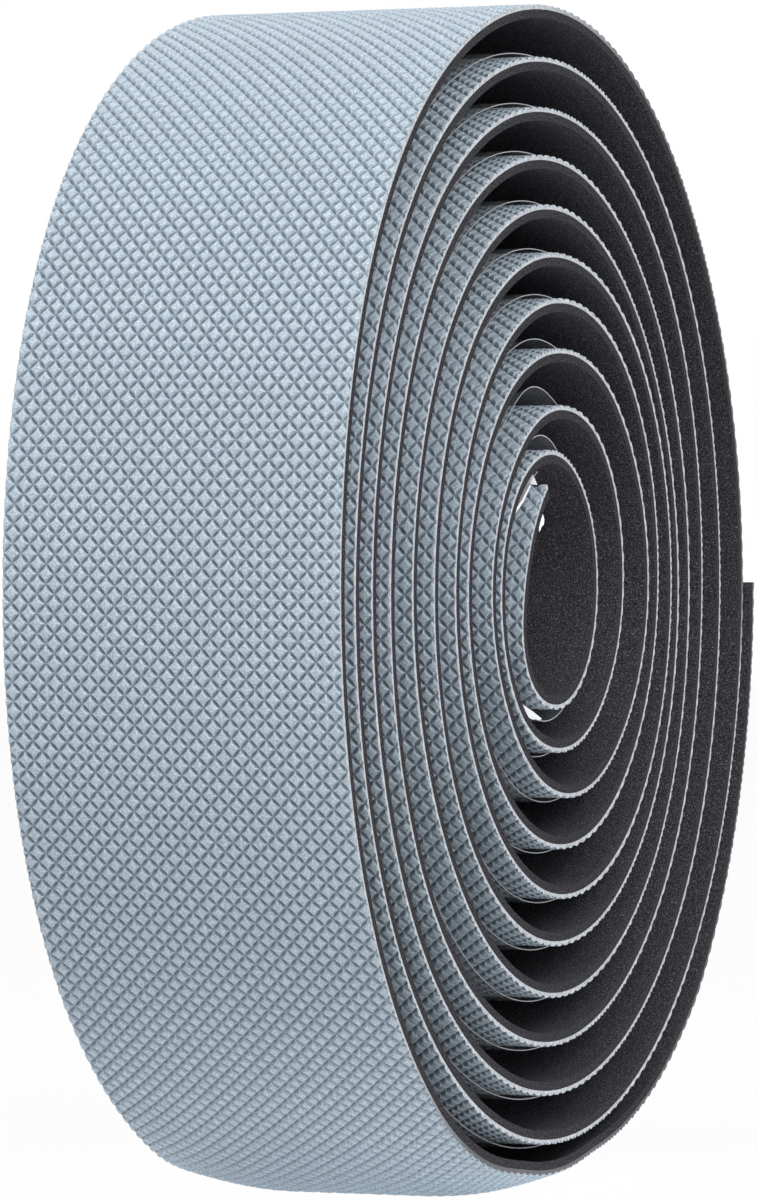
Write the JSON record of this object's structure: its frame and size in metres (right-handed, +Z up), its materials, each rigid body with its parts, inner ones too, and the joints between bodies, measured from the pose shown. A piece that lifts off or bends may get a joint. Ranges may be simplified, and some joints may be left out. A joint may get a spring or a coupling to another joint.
{
  "type": "handlebar tape roll",
  "caption": "Cushioned bicycle handlebar tape wound in a loose roll round an open middle, embossed cover outside, black foam inside, thin release film between the turns.",
  "frame": {"origin": "centre of the flat spot that the roll stands on, under the winding axis and halfway across the tape", "axes": "+Z up, +Y along the winding axis away from the open face that shows the winding, +X towards the loose outer end"},
  "size_m": [0.1038, 0.03, 0.1039],
  "materials": {
    "embossed_cover": "pale blue-grey synthetic leather, pressed with a fine diagonal diamond pattern, satin",
    "black_foam": "soft closed-cell foam, matt black, with a greyer cut edge",
    "white_film": "thin, milky, glossy film"
  },
  "bodies": {
    "root": {"cover_layer": "embossed_cover", "foam_backing": "black_foam", "release_film": "white_film"}
  },
  "joints": []
}
